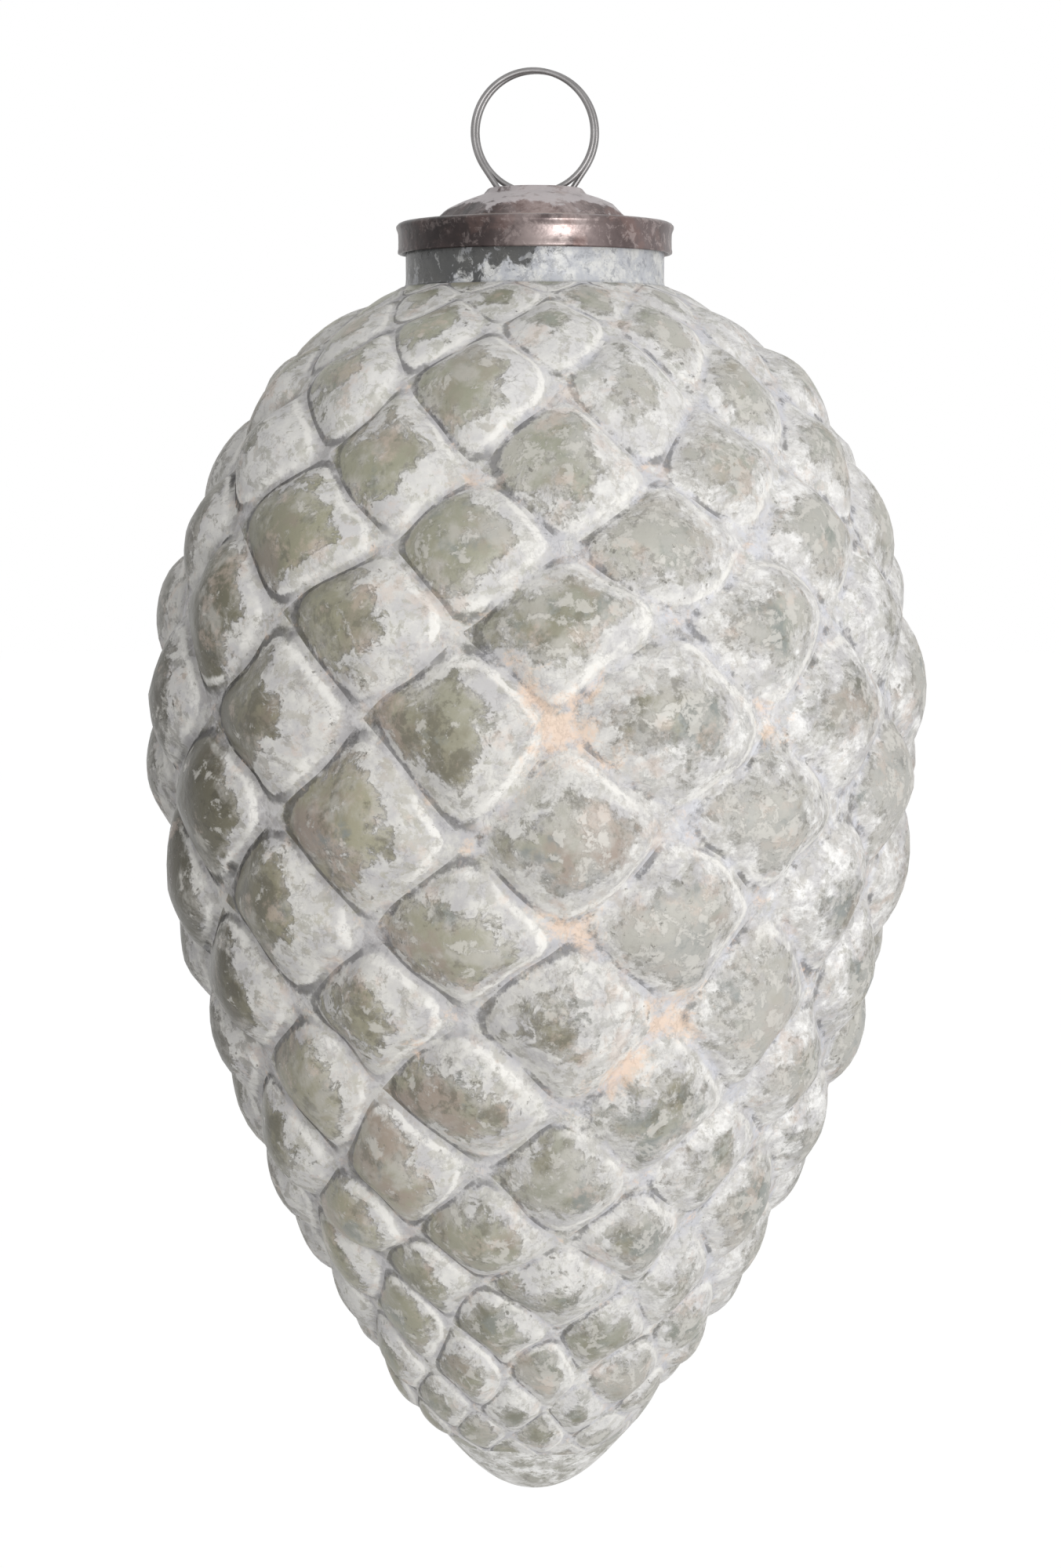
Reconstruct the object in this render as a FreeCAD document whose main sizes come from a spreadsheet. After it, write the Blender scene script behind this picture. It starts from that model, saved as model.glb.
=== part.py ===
import FreeCAD, Part
import math
import os
import Sketcher
from FreeCAD import Rotation, Vector

# Glass pine cone: a mould-blown hollow glass body under a pressed metal cap, hung from a sprung wire.
# Millimetres, +Z up. The origin is where a hook bears inside the top of the hanger's ring.

# Driving sizes, each written once
SIZES = {
    # Hanger wire: two turns make the ring, the ends are spring legs inside the neck
    "wire_diameter": 0.75,
    "ring_inner_radius": 7.3,
    "turn_gap": 0.1,
    "turn_shift": 0.4,
    "leg_bend_radius": 1.2,
    "leg_clearance": 0.12,
    # Cap, pressed from sheet
    "sheet": 0.45,
    "skirt_clearance": 0.25,
    "skirt_height": 4.0,
    "bead_height": 1.1,
    "bead_proud": 0.29,
    "ledge_width": 4.25,
    "dome_height": 3.6,
    "dome_wall": 0.4,
    "boss_height": 0.7,
    "boss_wall_run": 0.6,
    "boss_crest": 0.6,
    "dish_depth": 1.1,
    "dish_wall_run": 0.5,
    "dish_margin": 0.1,
    "slot_offset": 4.1,
    "slot_clearance": 0.2,
    "seat_clearance": 0.1,
    # Glass
    "glass_wall": 2.2,
    "tip_wall": 3.3,
    "neck_radius": 16.7,
    "neck_below_cap": 4.2,
    "neck_step": 0.6,
    "lip_proud": 0.25,
    "lip_height": 1.8,
    "lip_chamfer": 0.5,
    "body_radius": 48.1,
    "body_length": 164.2,
    "scale_crown": 3.7,
}

# Scales: columns round the body, and the turn of the front one from straight ahead
COLUMNS = 12
COLUMN_TURN = 5.1

# Legs leave the cap this many degrees from the vertical
LEG_SPLAY = 45.0

# Groove outline below the neck root, down to the tip: shares of body_radius and of body_length
OUTLINE = (
    (0.600, 0.038), (0.800, 0.115), (0.959, 0.211), (1.016, 0.326), (0.982, 0.454),
    (0.867, 0.588), (0.712, 0.722), (0.448, 0.857), (0.180, 1.0), (0.0, 1.0),
)

# Levels where the grooves cross, as shares of body_length: close under the neck, tall on the belly
CROSSINGS = (
    0.0, 0.010, 0.037, 0.082, 0.132, 0.186, 0.241, 0.311, 0.384, 0.457,
    0.526, 0.594, 0.655, 0.713, 0.764, 0.809, 0.847, 0.879, 0.908, 0.934,
)

# Facet lines across a scale, close together at its shoulders, and how square its cushion is
FACET_LINES = (0.0, 0.15, 0.5, 0.85, 1.0)
CUSHION_POWER = 2.6

# The relief grows in over this many rows from the neck, and fades out over the last ones
NECK_FADE_ROWS = 3.0
TIP_FADE_ROWS = 2.5

# The smooth inside of the glass: sides round it, and the rows whose level it follows
INNER_SIDES = 24
INNER_ROWS = (0, 1, 2, 3, 4, *range(5, len(CROSSINGS), 2))
TIP_RINGS = 4

# Flat runs that a pressed bend or bead of the cap is made of
PRESSED_RUNS = 4

# The cap's dome is a shallow piece of an ellipse: its angles at the top and at the foot, counted from level
DOME_TOP_ANGLE = 74.0
DOME_FOOT_ANGLE = 56.0

# Sketch element that is the origin point, and the decimals that shares are kept to
ROOT = -1
DECIMALS = 6


class Size:
    """A number and the sheet expression that gives it, so that a formula is written once."""

    def __init__(self, value, text):
        self.value = value
        self.text = text

    def join(self, sign, other, value):
        return Size(value, f"({self.text} {sign} {as_size(other).text})")

    def __add__(self, other):
        return self.join("+", other, self.value + as_size(other).value)

    def __sub__(self, other):
        return self.join("-", other, self.value - as_size(other).value)

    def __mul__(self, other):
        return self.join("*", other, self.value * as_size(other).value)

    def __truediv__(self, other):
        return self.join("/", other, self.value / as_size(other).value)

    def __neg__(self):
        return self * -1


def as_size(thing):
    return thing if isinstance(thing, Size) else Size(thing, f"{thing:g}")


doc = FreeCAD.newDocument("pine_cone")

sheet = doc.addObject("Spreadsheet::Sheet", "Sizes")
for row, (alias, number) in enumerate(SIZES.items(), start=1):
    sheet.set(f"A{row}", alias)
    sheet.set(f"B{row}", str(number))
    sheet.setAlias(f"B{row}", alias)
doc.recompute()


def size(alias):
    return Size(sheet.get(alias), f"Sizes.{alias}")


# Radii and levels that the pieces share
wire_diameter = size("wire_diameter")
metal = size("sheet")
ring_radius = size("ring_inner_radius") + wire_diameter / 2
far_radius = ring_radius + size("turn_shift") / 2
near_radius = ring_radius - size("turn_shift") / 2
ring_centre = -size("ring_inner_radius")
dish_floor = -(size("ring_inner_radius") * 2 + wire_diameter + size("seat_clearance"))
boss_top = dish_floor + size("dish_depth")
dome_top = boss_top - size("boss_height")
ledge = dome_top - size("dome_height")
skirt_foot = ledge - size("skirt_height")
lip_top = ledge - metal - size("seat_clearance")
neck_root = skirt_foot - size("neck_below_cap")
bore_radius = size("neck_radius") - size("glass_wall")
lip_radius = size("neck_radius") + size("lip_proud")
cap_inside = lip_radius + size("skirt_clearance")

# The wire's turns lie side by side, and an end comes through its slot this far behind the middle plane
turn_pitch = wire_diameter + size("turn_gap")
slot_aside = -(turn_pitch - turn_pitch * size("slot_offset") / far_radius / 4)
slot_half_wide = wire_diameter / 2 + size("slot_clearance")
slot_half_long = slot_half_wide + size("slot_clearance")


def origin_plane(body, role):
    return next(item for item in body.Origin.OriginFeatures if item.Role == role)


def new_sketch(body, name, role):
    sketch = body.newObject("Sketcher::SketchObject", name)
    sketch.AttachmentSupport = (origin_plane(body, role), "")
    sketch.MapMode = "FlatFace"
    return sketch


def hold(sketch, kind, geometry, label, place):
    """Add a constraint of this kind and bind it to a Size."""
    sketch.addConstraint(Sketcher.Constraint(kind, *geometry, place.value))
    sketch.renameConstraint(sketch.ConstraintCount - 1, label)
    sketch.setExpression(f"Constraints.{label}", place.text)


def draw_outline(sketch, corners):
    """Closed outline of straight runs. A corner is (name, across, up), with its two Sizes held."""
    points = [Vector(across.value, up.value, 0) for _, across, up in corners]
    for start, end in zip(points, points[1:] + points[:1]):
        sketch.addGeometry(Part.LineSegment(start, end), False)
    for line, (name, across, up) in enumerate(corners):
        following = (line + 1) % len(corners)
        sketch.addConstraint(Sketcher.Constraint("Coincident", line, 2, following, 1))
        if across.value == 0:
            sketch.addConstraint(Sketcher.Constraint("Vertical", ROOT, 1, line, 1))
        else:
            hold(sketch, "DistanceX", (ROOT, 1, line, 1), f"{name}_across", across)
        hold(sketch, "DistanceY", (ROOT, 1, line, 1), f"{name}_up", up)


def cosine(degrees):
    return round(math.cos(math.radians(degrees)), DECIMALS)


def sine(degrees):
    return round(math.sin(math.radians(degrees)), DECIMALS)


def bend_corners(name, across, up, reach, rise, first, last):
    """Corners along a bend about a centre, from one angle to another, counted from straight out."""
    corners = []
    for run in range(PRESSED_RUNS + 1):
        angle = first + (last - first) * run / PRESSED_RUNS
        corners.append((f"{name}_{run}", across + reach * cosine(angle), up + rise * sine(angle)))
    return corners


# Cap: the section of the pressed sheet turned about the axis, with a slot for each end of the wire
def build_cap():
    body = doc.addObject("PartDesign::Body", "cap")
    nil = Size(0, "0")
    dish_radius = size("slot_offset") + slot_half_long + size("dish_margin")
    dish_rim = dish_radius + size("dish_wall_run")
    boss_rim = dish_rim + size("boss_crest")
    boss_foot = boss_rim + size("boss_wall_run")
    cap_outside = cap_inside + metal
    dome_radius = cap_outside - size("ledge_width")
    reach = (dome_radius - boss_foot) / (cosine(DOME_FOOT_ANGLE) - cosine(DOME_TOP_ANGLE))
    middle = boss_foot - reach * cosine(DOME_TOP_ANGLE)
    rise = (size("dome_height") - size("dome_wall")) / (sine(DOME_TOP_ANGLE) - sine(DOME_FOOT_ANGLE))
    level = dome_top - rise * sine(DOME_TOP_ANGLE)
    inner_middle = middle - metal
    inner_level = level - metal
    bead_half = size("bead_height") / 2
    section = new_sketch(body, "cap_section", "XZ_Plane")
    draw_outline(section, (
        ("dish_middle", nil, dish_floor),
        ("dish_edge", dish_radius, dish_floor),
        ("dish_rim", dish_rim, boss_top),
        ("boss_rim", boss_rim, boss_top),
        *bend_corners("dome", middle, level, reach, rise, DOME_TOP_ANGLE, DOME_FOOT_ANGLE),
        ("dome_foot", dome_radius, ledge),
        *bend_corners("bead", cap_outside, ledge - bead_half, size("bead_proud"), bead_half, 90, -90),
        ("skirt_foot", cap_outside, skirt_foot),
        ("skirt_inner_foot", cap_inside, skirt_foot),
        ("skirt_inner_top", cap_inside, ledge - metal),
        ("ledge_inner", dome_radius - metal, ledge - metal),
        *bend_corners("under_dome", inner_middle, inner_level, reach, rise, DOME_FOOT_ANGLE, DOME_TOP_ANGLE),
        ("boss_under_crest", (dish_rim + boss_rim) / 2, boss_top - metal),
        ("dish_under_edge", dish_radius + metal / 2, dish_floor - metal),
        ("dish_under_middle", nil, dish_floor - metal),
    ))
    pressing = body.newObject("PartDesign::Revolution", "pressing")
    pressing.Profile = section
    pressing.ReferenceAxis = (section, ["V_Axis"])
    pressing.Angle = 360
    section.Visibility = False

    slot = new_sketch(body, "slot_outline", "XY_Plane")
    near = slot_half_long - size("slot_offset")
    far = -slot_half_long - size("slot_offset")
    draw_outline(slot, (
        ("near_left", near, slot_aside + slot_half_wide),
        ("near_right", near, slot_aside - slot_half_wide),
        ("far_right", far, slot_aside - slot_half_wide),
        ("far_left", far, slot_aside + slot_half_wide),
    ))
    slot_cut = body.newObject("PartDesign::Pocket", "slot")
    slot_cut.Profile = slot
    slot_cut.Type = "ThroughAll"
    slot_pair = body.newObject("PartDesign::PolarPattern", "slot_pair")
    slot_pair.Originals = [slot_cut]
    slot_pair.Axis = (section, ["V_Axis"])
    slot_pair.Angle = 360
    slot_pair.Occurrences = 2
    body.Tip = slot_pair
    return body


# Hanger wire: the ring's half turns lie in upright planes that swing a little, so the turns lie side by
# side, one of them a little to the right of the other. Each end runs through its slot, bends under the
# sheet and spreads to the wall of the neck.
def hanger_path():
    level = ring_centre.value
    swing = turn_pitch.value / 4
    far = far_radius.value
    near = near_radius.value
    edge_points = [
        Vector(-far, -3 * swing, level),
        Vector(near, -swing, level),
        Vector(-near, swing, level),
        Vector(far, 3 * swing, level),
    ]
    spans = []
    for index in range(3):
        start, end = edge_points[index:index + 2]
        crown = (start + end) * 0.5 + Vector(0, 0, (-1) ** index * (end - start).Length / 2)
        spans.append(Part.Arc(start, crown, end))

    end_plane = Vector(far, -5 * swing, level) - edge_points[0]
    loop_radius = end_plane.Length / 2
    along = end_plane.normalize()
    loop_centre = edge_points[0] + along * loop_radius

    def at(across, up):
        return loop_centre + along * across + Vector(0, 0, up)

    def on_circle(middle, circle_radius, degrees):
        angle = math.radians(degrees)
        return at(middle[0] + circle_radius * math.cos(angle), middle[1] + circle_radius * math.sin(angle))

    bend = SIZES["leg_bend_radius"]
    bend_middle = (-(SIZES["slot_offset"] + bend), (dish_floor - metal / 2).value - level)
    apart = math.hypot(*bend_middle)
    bearing = math.degrees(math.atan2(bend_middle[1], bend_middle[0])) + 360
    meet = bearing - math.degrees(math.acos((loop_radius + bend) / apart))
    bend_low = on_circle(bend_middle, bend, -LEG_SPLAY)
    bend_high_angle = meet - 180
    reach = bore_radius.value - wire_diameter.value / 2 - SIZES["leg_clearance"]
    leg_run = (reach + (bend_low - loop_centre).dot(along)) / math.sin(math.radians(LEG_SPLAY))
    leg_way = along * -math.sin(math.radians(LEG_SPLAY)) - Vector(0, 0, math.cos(math.radians(LEG_SPLAY)))
    points = [
        bend_low + leg_way * leg_run,
        bend_low,
        on_circle(bend_middle, bend, (bend_high_angle - LEG_SPLAY) / 2),
        on_circle(bend_middle, bend, bend_high_angle),
        on_circle((0, 0), loop_radius, meet),
        on_circle((0, 0), loop_radius, (meet + 180) / 2),
        edge_points[0],
    ]
    half_turn = Rotation(Vector(0, 0, 1), 180)
    turned = [half_turn.multVec(point) for point in reversed(points)]
    curves = [
        Part.LineSegment(points[0], points[1]),
        Part.Arc(points[1], points[2], points[3]),
        Part.LineSegment(points[3], points[4]),
        Part.Arc(points[4], points[5], points[6]),
        *spans,
        Part.Arc(turned[0], turned[1], turned[2]),
        Part.LineSegment(turned[2], turned[3]),
        Part.Arc(turned[3], turned[4], turned[5]),
        Part.LineSegment(turned[5], turned[6]),
    ]
    return Part.Wire([curve.toShape() for curve in curves])


def build_hanger():
    path = doc.addObject("Part::Feature", "hanger_path")
    path.Shape = hanger_path()
    first = path.Shape.Edges[0]
    section = doc.addObject("Part::Circle", "wire_section")
    section.setExpression("Radius", (wire_diameter / 2).text)
    section.Placement = FreeCAD.Placement(
        first.valueAt(first.FirstParameter),
        Rotation(Vector(0, 0, 1), first.tangentAt(first.FirstParameter)),
    )
    wire = doc.addObject("Part::Sweep", "hanger_wire")
    wire.Sections = [section]
    wire.Spine = (path, [])
    wire.Solid = True
    wire.Frenet = False
    return wire


# Glass: groove outline from neck to tip, a cubic curve with a few poles
def groove_outline():
    root = neck_root.value
    poles = [Vector(SIZES["neck_radius"] + SIZES["neck_step"], 0, root)]
    for across, down in OUTLINE:
        poles.append(Vector(across * SIZES["body_radius"], 0, root - down * SIZES["body_length"]))
    inner_knots = len(poles) - 4
    curve = Part.BSplineCurve()
    curve.buildFromPolesMultsKnots(
        poles, [4] + [1] * inner_knots + [4], list(range(inner_knots + 2)), False, 3
    )
    return curve


class Skin:
    """Glass surface in terms of rows down the body and the angle round it."""

    def __init__(self):
        self.curve = groove_outline()
        self.last_row = len(CROSSINGS) - 1
        self.known = {}

    def parameter_at(self, level):
        low, high = self.curve.FirstParameter, self.curve.LastParameter
        for _ in range(30):
            middle = (low + high) / 2
            if self.curve.value(middle).z > level:
                low = middle
            else:
                high = middle
        return low

    def groove_at(self, row):
        """Groove point and outward normal, as across and up pairs, at a row that may be a fraction."""
        if row not in self.known:
            above = min(int(row), self.last_row - 1)
            share = CROSSINGS[above] + (CROSSINGS[above + 1] - CROSSINGS[above]) * (row - above)
            place = self.parameter_at(neck_root.value - share * SIZES["body_length"])
            point = self.curve.value(place)
            along = self.curve.tangent(place)[0]
            self.known[row] = (point.x, point.z, -along.z, along.x)
        return self.known[row]

    def point(self, row, angle, height):
        across, up, normal_across, normal_up = self.groove_at(row)
        radius = across + height * normal_across
        return Vector(radius * math.sin(angle), -radius * math.cos(angle), up + height * normal_up)

    def relief_height(self, row):
        """Crown height of the scale centred on this row: the tallest scales stand out most."""
        spans = [below - above for above, below in zip(CROSSINGS, CROSSINGS[2:])]
        fade = min(1.0, row / NECK_FADE_ROWS, (self.last_row - row) / TIP_FADE_ROWS)
        return SIZES["scale_crown"] * spans[row - 1] / max(spans) * fade


def cushion(share):
    return 1 - abs(2 * share - 1) ** CUSHION_POWER


def facet_angle(steps):
    """Angle round the body, counted in half columns from the front one."""
    return math.radians(COLUMN_TURN) + round(steps, DECIMALS) * math.pi / COLUMNS


def scale_points(skin, row, column):
    """Grid of points of one scale, from its top corner down to the right and down to the left."""
    middle = 2 * column + row % 2
    height = skin.relief_height(row) if 0 < row < skin.last_row else 0.0
    grid = []
    for down_right in FACET_LINES:
        line = []
        for down_left in FACET_LINES:
            level = round(row - 1 + down_right + down_left, DECIMALS)
            if 0 <= level <= skin.last_row:
                crown = height * cushion(down_right) * cushion(down_left)
                line.append(skin.point(level, facet_angle(middle + down_right - down_left), crown))
            else:
                line.append(None)
        grid.append(line)
    return grid


def grid_facets(grid):
    """Two triangles for each square of a grid, less those with a missing corner."""
    facets = []
    for first, second in zip(grid, grid[1:]):
        for index in range(len(first) - 1):
            upper = (first[index], first[index + 1], second[index])
            lower = (second[index], first[index + 1], second[index + 1])
            facets += [facet for facet in (upper, lower) if None not in facet]
    return facets


def level_ring(skin, row):
    """Points round the level line where a row of scales is cut off."""
    return [
        skin.point(row, facet_angle(2 * column + row % 2 + 2 * share - 1), 0)
        for column in range(COLUMNS)
        for share in FACET_LINES[:-1]
    ]


def band_facets(upper, lower):
    """Facets between two closed rings of as many points."""
    return grid_facets([upper + upper[:1], lower + lower[:1]])


def fan_facets(ring, point):
    return [(first, second, point) for first, second in zip(ring, ring[1:] + ring[:1])]


def outer_facets(skin):
    facets = []
    for row in range(skin.last_row + 1):
        for column in range(COLUMNS):
            facets += grid_facets(scale_points(skin, row, column))
    ring = level_ring(skin, skin.last_row)
    start = skin.parameter_at(ring[0].z)
    tip = skin.curve.value(skin.curve.LastParameter)
    for step in range(1, TIP_RINGS):
        place = skin.curve.value(start + (skin.curve.LastParameter - start) * step / TIP_RINGS)
        scaled = [Vector(point.x, point.y, 0).normalize() * place.x for point in ring]
        following = [Vector(point.x, point.y, place.z) for point in scaled]
        facets += band_facets(ring, following)
        ring = following
    return facets + fan_facets(ring, tip)


def inner_rings(skin):
    wall = SIZES["glass_wall"]
    angles = [2 * math.pi * side / INNER_SIDES for side in range(INNER_SIDES)]
    return [[skin.point(row, angle, -wall) for angle in angles] for row in INNER_ROWS]


def inner_facets(skin, rings):
    facets = []
    for upper, lower in zip(rings, rings[1:]):
        facets += band_facets(upper, lower)
    floor = Vector(0, 0, skin.curve.value(skin.curve.LastParameter).z + SIZES["tip_wall"])
    return facets + fan_facets(rings[-1], floor)


def neck_faces(inner_level):
    """Outside of the neck, its thickened lip and the bore, turned about the axis."""
    outside = SIZES["neck_radius"]
    proud = lip_radius.value
    bore = bore_radius.value
    top = lip_top.value
    chamfer = SIZES["lip_chamfer"]
    lip_foot = top - SIZES["lip_height"]
    corners = (
        (outside, neck_root.value),
        (outside, lip_foot - chamfer),
        (proud, lip_foot),
        (proud, top - chamfer),
        (proud - chamfer, top),
        (bore + chamfer, top),
        (bore, top - chamfer),
        (bore, inner_level),
    )
    section = Part.makePolygon([Vector(across, 0, up) for across, up in corners])
    return section.revolve(Vector(0, 0, 0), Vector(0, 0, 1), 360).Faces


def level_face(ring, hole_radius):
    """Flat face between a ring of points and a round edge inside it."""
    border = Part.makePolygon(ring + ring[:1])
    hole = Part.Wire(Part.makeCircle(hole_radius, Vector(0, 0, ring[0].z)))
    return Part.makeFace([border, hole], "Part::FaceMakerBullseye").Faces


def faces_of(facets):
    return [Part.Face(Part.makePolygon([*facet, facet[0]])) for facet in facets]


def build_glass():
    skin = Skin()
    rings = inner_rings(skin)
    faces = faces_of(outer_facets(skin) + inner_facets(skin, rings))
    faces += neck_faces(rings[0][0].z)
    faces += level_face(level_ring(skin, 0), SIZES["neck_radius"])
    faces += level_face(rings[0], bore_radius.value)
    skin_shell = Part.Compound(faces)
    skin_shell.sewShape()
    glass = doc.addObject("Part::Feature", "glass_body")
    glass.Shape = Part.Solid(skin_shell.Shells[0])
    return glass


def check_and_write(pieces):
    doc.recompute()
    for item in doc.Objects:
        if "Invalid" in item.State or "Error" in item.State:
            raise RuntimeError(f"{item.Label} did not rebuild: {item.State}")
    for piece in pieces:
        shape = piece.Shape
        if shape.isNull() or not shape.isValid() or shape.Volume <= 0:
            raise RuntimeError(f"{piece.Label} has no sound solid")
    os.makedirs("parts", exist_ok=True)
    for piece in pieces:
        piece.Shape.exportStep(f"parts/{piece.Label}.step")
        print(piece.Label, len(piece.Shape.Solids), "solid,", round(piece.Shape.Volume), "mm3")


check_and_write([build_glass(), build_cap(), build_hanger()])
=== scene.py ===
import math
import random

import bpy
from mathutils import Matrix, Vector, noise


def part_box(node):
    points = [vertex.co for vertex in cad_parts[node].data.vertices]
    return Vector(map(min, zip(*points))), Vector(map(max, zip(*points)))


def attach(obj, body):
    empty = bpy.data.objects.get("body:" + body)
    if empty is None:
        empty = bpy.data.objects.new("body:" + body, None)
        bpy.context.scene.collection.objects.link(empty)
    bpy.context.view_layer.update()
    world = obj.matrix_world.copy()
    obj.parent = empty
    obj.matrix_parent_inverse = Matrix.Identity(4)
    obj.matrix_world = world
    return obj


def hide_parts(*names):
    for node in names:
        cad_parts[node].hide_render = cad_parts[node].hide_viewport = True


# Glass pine cone in its looks: chalk-washed glass, an aged bronze cap and a darkened wire ring.
# Sizes are in millimetres in the CAD frame, and meshes are made in metres.
MM = 0.001

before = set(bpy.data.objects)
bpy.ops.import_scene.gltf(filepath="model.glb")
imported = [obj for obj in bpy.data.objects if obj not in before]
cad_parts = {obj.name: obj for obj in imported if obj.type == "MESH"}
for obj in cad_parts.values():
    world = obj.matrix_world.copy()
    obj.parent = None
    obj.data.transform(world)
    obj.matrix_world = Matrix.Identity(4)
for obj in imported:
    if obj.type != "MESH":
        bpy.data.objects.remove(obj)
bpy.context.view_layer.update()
glass_low, glass_high = [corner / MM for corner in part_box("glass_body")]
cap_low, cap_high = [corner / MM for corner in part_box("cap")]

# Levels and radii that follow the solids
TIP = glass_low.z
LIP_TOP = glass_high.z
SKIRT_FOOT = cap_low.z
CAP_TOP = cap_high.z
BEAD_RADIUS = cap_high.x
NECK_BELOW_CAP = 4.2
NECK_ROOT = SKIRT_FOOT - NECK_BELOW_CAP
BODY_LENGTH = NECK_ROOT - TIP
NECK_RADIUS = 16.7
NECK_STEP = 0.6
LIP_RADIUS = 16.95
LIP_HEIGHT = 1.8
LIP_CHAMFER = 0.5
BORE_RADIUS = 14.5
BODY_RADIUS = 48.1
GLASS_WALL = 2.2
TIP_WALL = 3.3
SCALE_CROWN = 3.7

# The lattice of scales, as in the solid: the groove line as shares of the body's radius and length,
# and how far down the body each row of crossings lies
COLUMNS = 12
COLUMN_TURN = 5.1
OUTLINE = (
    (0.600, 0.038), (0.800, 0.115), (0.959, 0.211), (1.016, 0.326), (0.982, 0.454),
    (0.867, 0.588), (0.712, 0.722), (0.448, 0.857), (0.180, 1.0), (0.0, 1.0),
)
CROSSINGS = (
    0.0, 0.010, 0.037, 0.082, 0.132, 0.186, 0.241, 0.311, 0.384, 0.457,
    0.526, 0.594, 0.655, 0.713, 0.764, 0.809, 0.847, 0.879, 0.908, 0.934,
)
LAST_ROW = len(CROSSINGS) - 1
ROW_SPANS = [below - above for above, below in zip(CROSSINGS, CROSSINGS[2:])]
NECK_FADE_ROWS = 3.0
TIP_FADE_ROWS = 2.5

# Plan and section of a scale: the groove's half width as a share of it, how square its outline is,
# how full it stands, how steep its sides are and how soft its foot is
GROOVE_SHARE = 0.02
PLAN_POWER = 4.6
SECTION_POWER = 2.0
SIDE_POWER = 0.95
FOOT_SOFTNESS = 0.05

# Blown glass is never quite true: the lattice wanders and the crowns differ a little. Both draws
# have a fixed seed, so that every run gives the same glass.
WANDER = 2.6
WANDER_LENGTH = 24.0
RIPPLE = 1.0
RIPPLE_LENGTH = 8.0
DENT = 0.3
DENT_LENGTH = 7.0
DENT_SHIFT = Vector((7.3, 1.9, 4.4))
CALM_NEAR_NECK = (2.0, 14.0)
CALM_NEAR_TIP = (1.0, 14.0)
LEAST_CROWN = 0.92
CROWN_SEED = 11
LATTICE_SEED = 9
noise.seed_set(LATTICE_SEED)

# Fineness of the glass mesh: cuts across a scale, how much they crowd beside its grooves, rings of
# the tip, the decimals that tell two places of the lattice apart, and the rows of the plain inside
SCALE_CUTS = 18
CUT_CROWDING = 0.115
TIP_CUTS = 12
TIP_POLE_LIFT = 0.05
KEY_DECIMALS = 4
ROW_SLACK = 1e-6
INSIDE_ROWS = (0.5, 1.5, 3, 5, 7, 9, 11, 13, 15, 17, 19)


def sweep(value, low, high):
    """0 below low, 1 above high and a smooth rise between them."""
    share = min(1.0, max(0.0, (value - low) / (high - low)))
    return share * share * (3 - 2 * share)


def make_object(name, vertices, faces, smooth=True):
    mesh = bpy.data.meshes.new(name)
    mesh.from_pydata([Vector(vertex) * MM for vertex in vertices], [], faces)
    mesh.validate()
    for polygon in mesh.polygons:
        polygon.use_smooth = smooth
    made = bpy.data.objects.new(name, mesh)
    bpy.context.scene.collection.objects.link(made)
    return made


def add_layer(mesh, name, domain, values):
    """A layer of numbers on the mesh's points or face corners, which a material reads by its name."""
    layer = mesh.attributes.new(name, "FLOAT", domain)
    layer.data.foreach_set("value", values)


# Glass
class GrooveOutline:
    """Groove line from the neck to the tip: a clamped cubic curve, looked up by its level."""

    DEGREE = 3
    SAMPLES = 900
    NEIGHBOURS = 3

    def __init__(self):
        poles = [(NECK_RADIUS + NECK_STEP, NECK_ROOT)]
        for across, down in OUTLINE:
            poles.append((across * BODY_RADIUS, NECK_ROOT - down * BODY_LENGTH))
        self.poles = poles
        spans = len(poles) - self.DEGREE
        self.knots = [0] * self.DEGREE + list(range(spans + 1)) + [spans] * self.DEGREE
        self.table = [self.at(spans * step / self.SAMPLES) for step in range(self.SAMPLES + 1)]

    def at(self, place):
        """Point of the curve, found by blending the poles near it again and again."""
        degree = self.DEGREE
        span = min(int(place), len(self.poles) - degree - 1) + degree
        near = [Vector(self.poles[index]) for index in range(span - degree, span + 1)]
        for level in range(1, degree + 1):
            for index in range(degree, level - 1, -1):
                left = self.knots[span - degree + index]
                right = self.knots[span + 1 + index - level]
                share = (place - left) / (right - left)
                near[index] = near[index - 1] * (1 - share) + near[index] * share
        return near[degree]

    def groove(self, level):
        """Radius at a level, and the outward normal there as an across and up pair."""
        low, high = 0, self.SAMPLES
        while high - low > 1:
            middle = (low + high) // 2
            if self.table[middle].y > level:
                low = middle
            else:
                high = middle
        upper, lower = self.table[low], self.table[high]
        share = min(1.0, max(0.0, (upper.y - level) / (upper.y - lower.y)))
        point = upper.lerp(lower, share)
        before = self.table[max(low - self.NEIGHBOURS, 0)]
        after = self.table[min(high + self.NEIGHBOURS, self.SAMPLES)]
        along = (after - before).normalized()
        return point.x, Vector((-along.y, along.x))


outline = GrooveOutline()


def row_level(row):
    """Level of a row of crossings, whole or in between."""
    above = min(int(row), LAST_ROW - 1)
    share = CROSSINGS[above] + (CROSSINGS[above + 1] - CROSSINGS[above]) * (row - above)
    return NECK_ROOT - share * BODY_LENGTH


def skin_point(row, steps, height):
    """Point of the skin at a row, half columns round the body, and a height above the groove line."""
    level = row_level(row)
    radius, normal = outline.groove(level)
    angle = math.radians(COLUMN_TURN) + steps * math.pi / COLUMNS
    across = radius + height * normal.x
    return Vector((across * math.sin(angle), -across * math.cos(angle), level + height * normal.y))


def crown_height(row):
    """Crown of a scale, higher the taller it is, and lower near the neck and the tip."""
    if not 0 < row < LAST_ROW:
        return 0.0
    fade = min(1.0, row / NECK_FADE_ROWS, (LAST_ROW - row) / TIP_FADE_ROWS)
    return SCALE_CROWN * ROW_SPANS[row - 1] / max(ROW_SPANS) * fade


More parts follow.
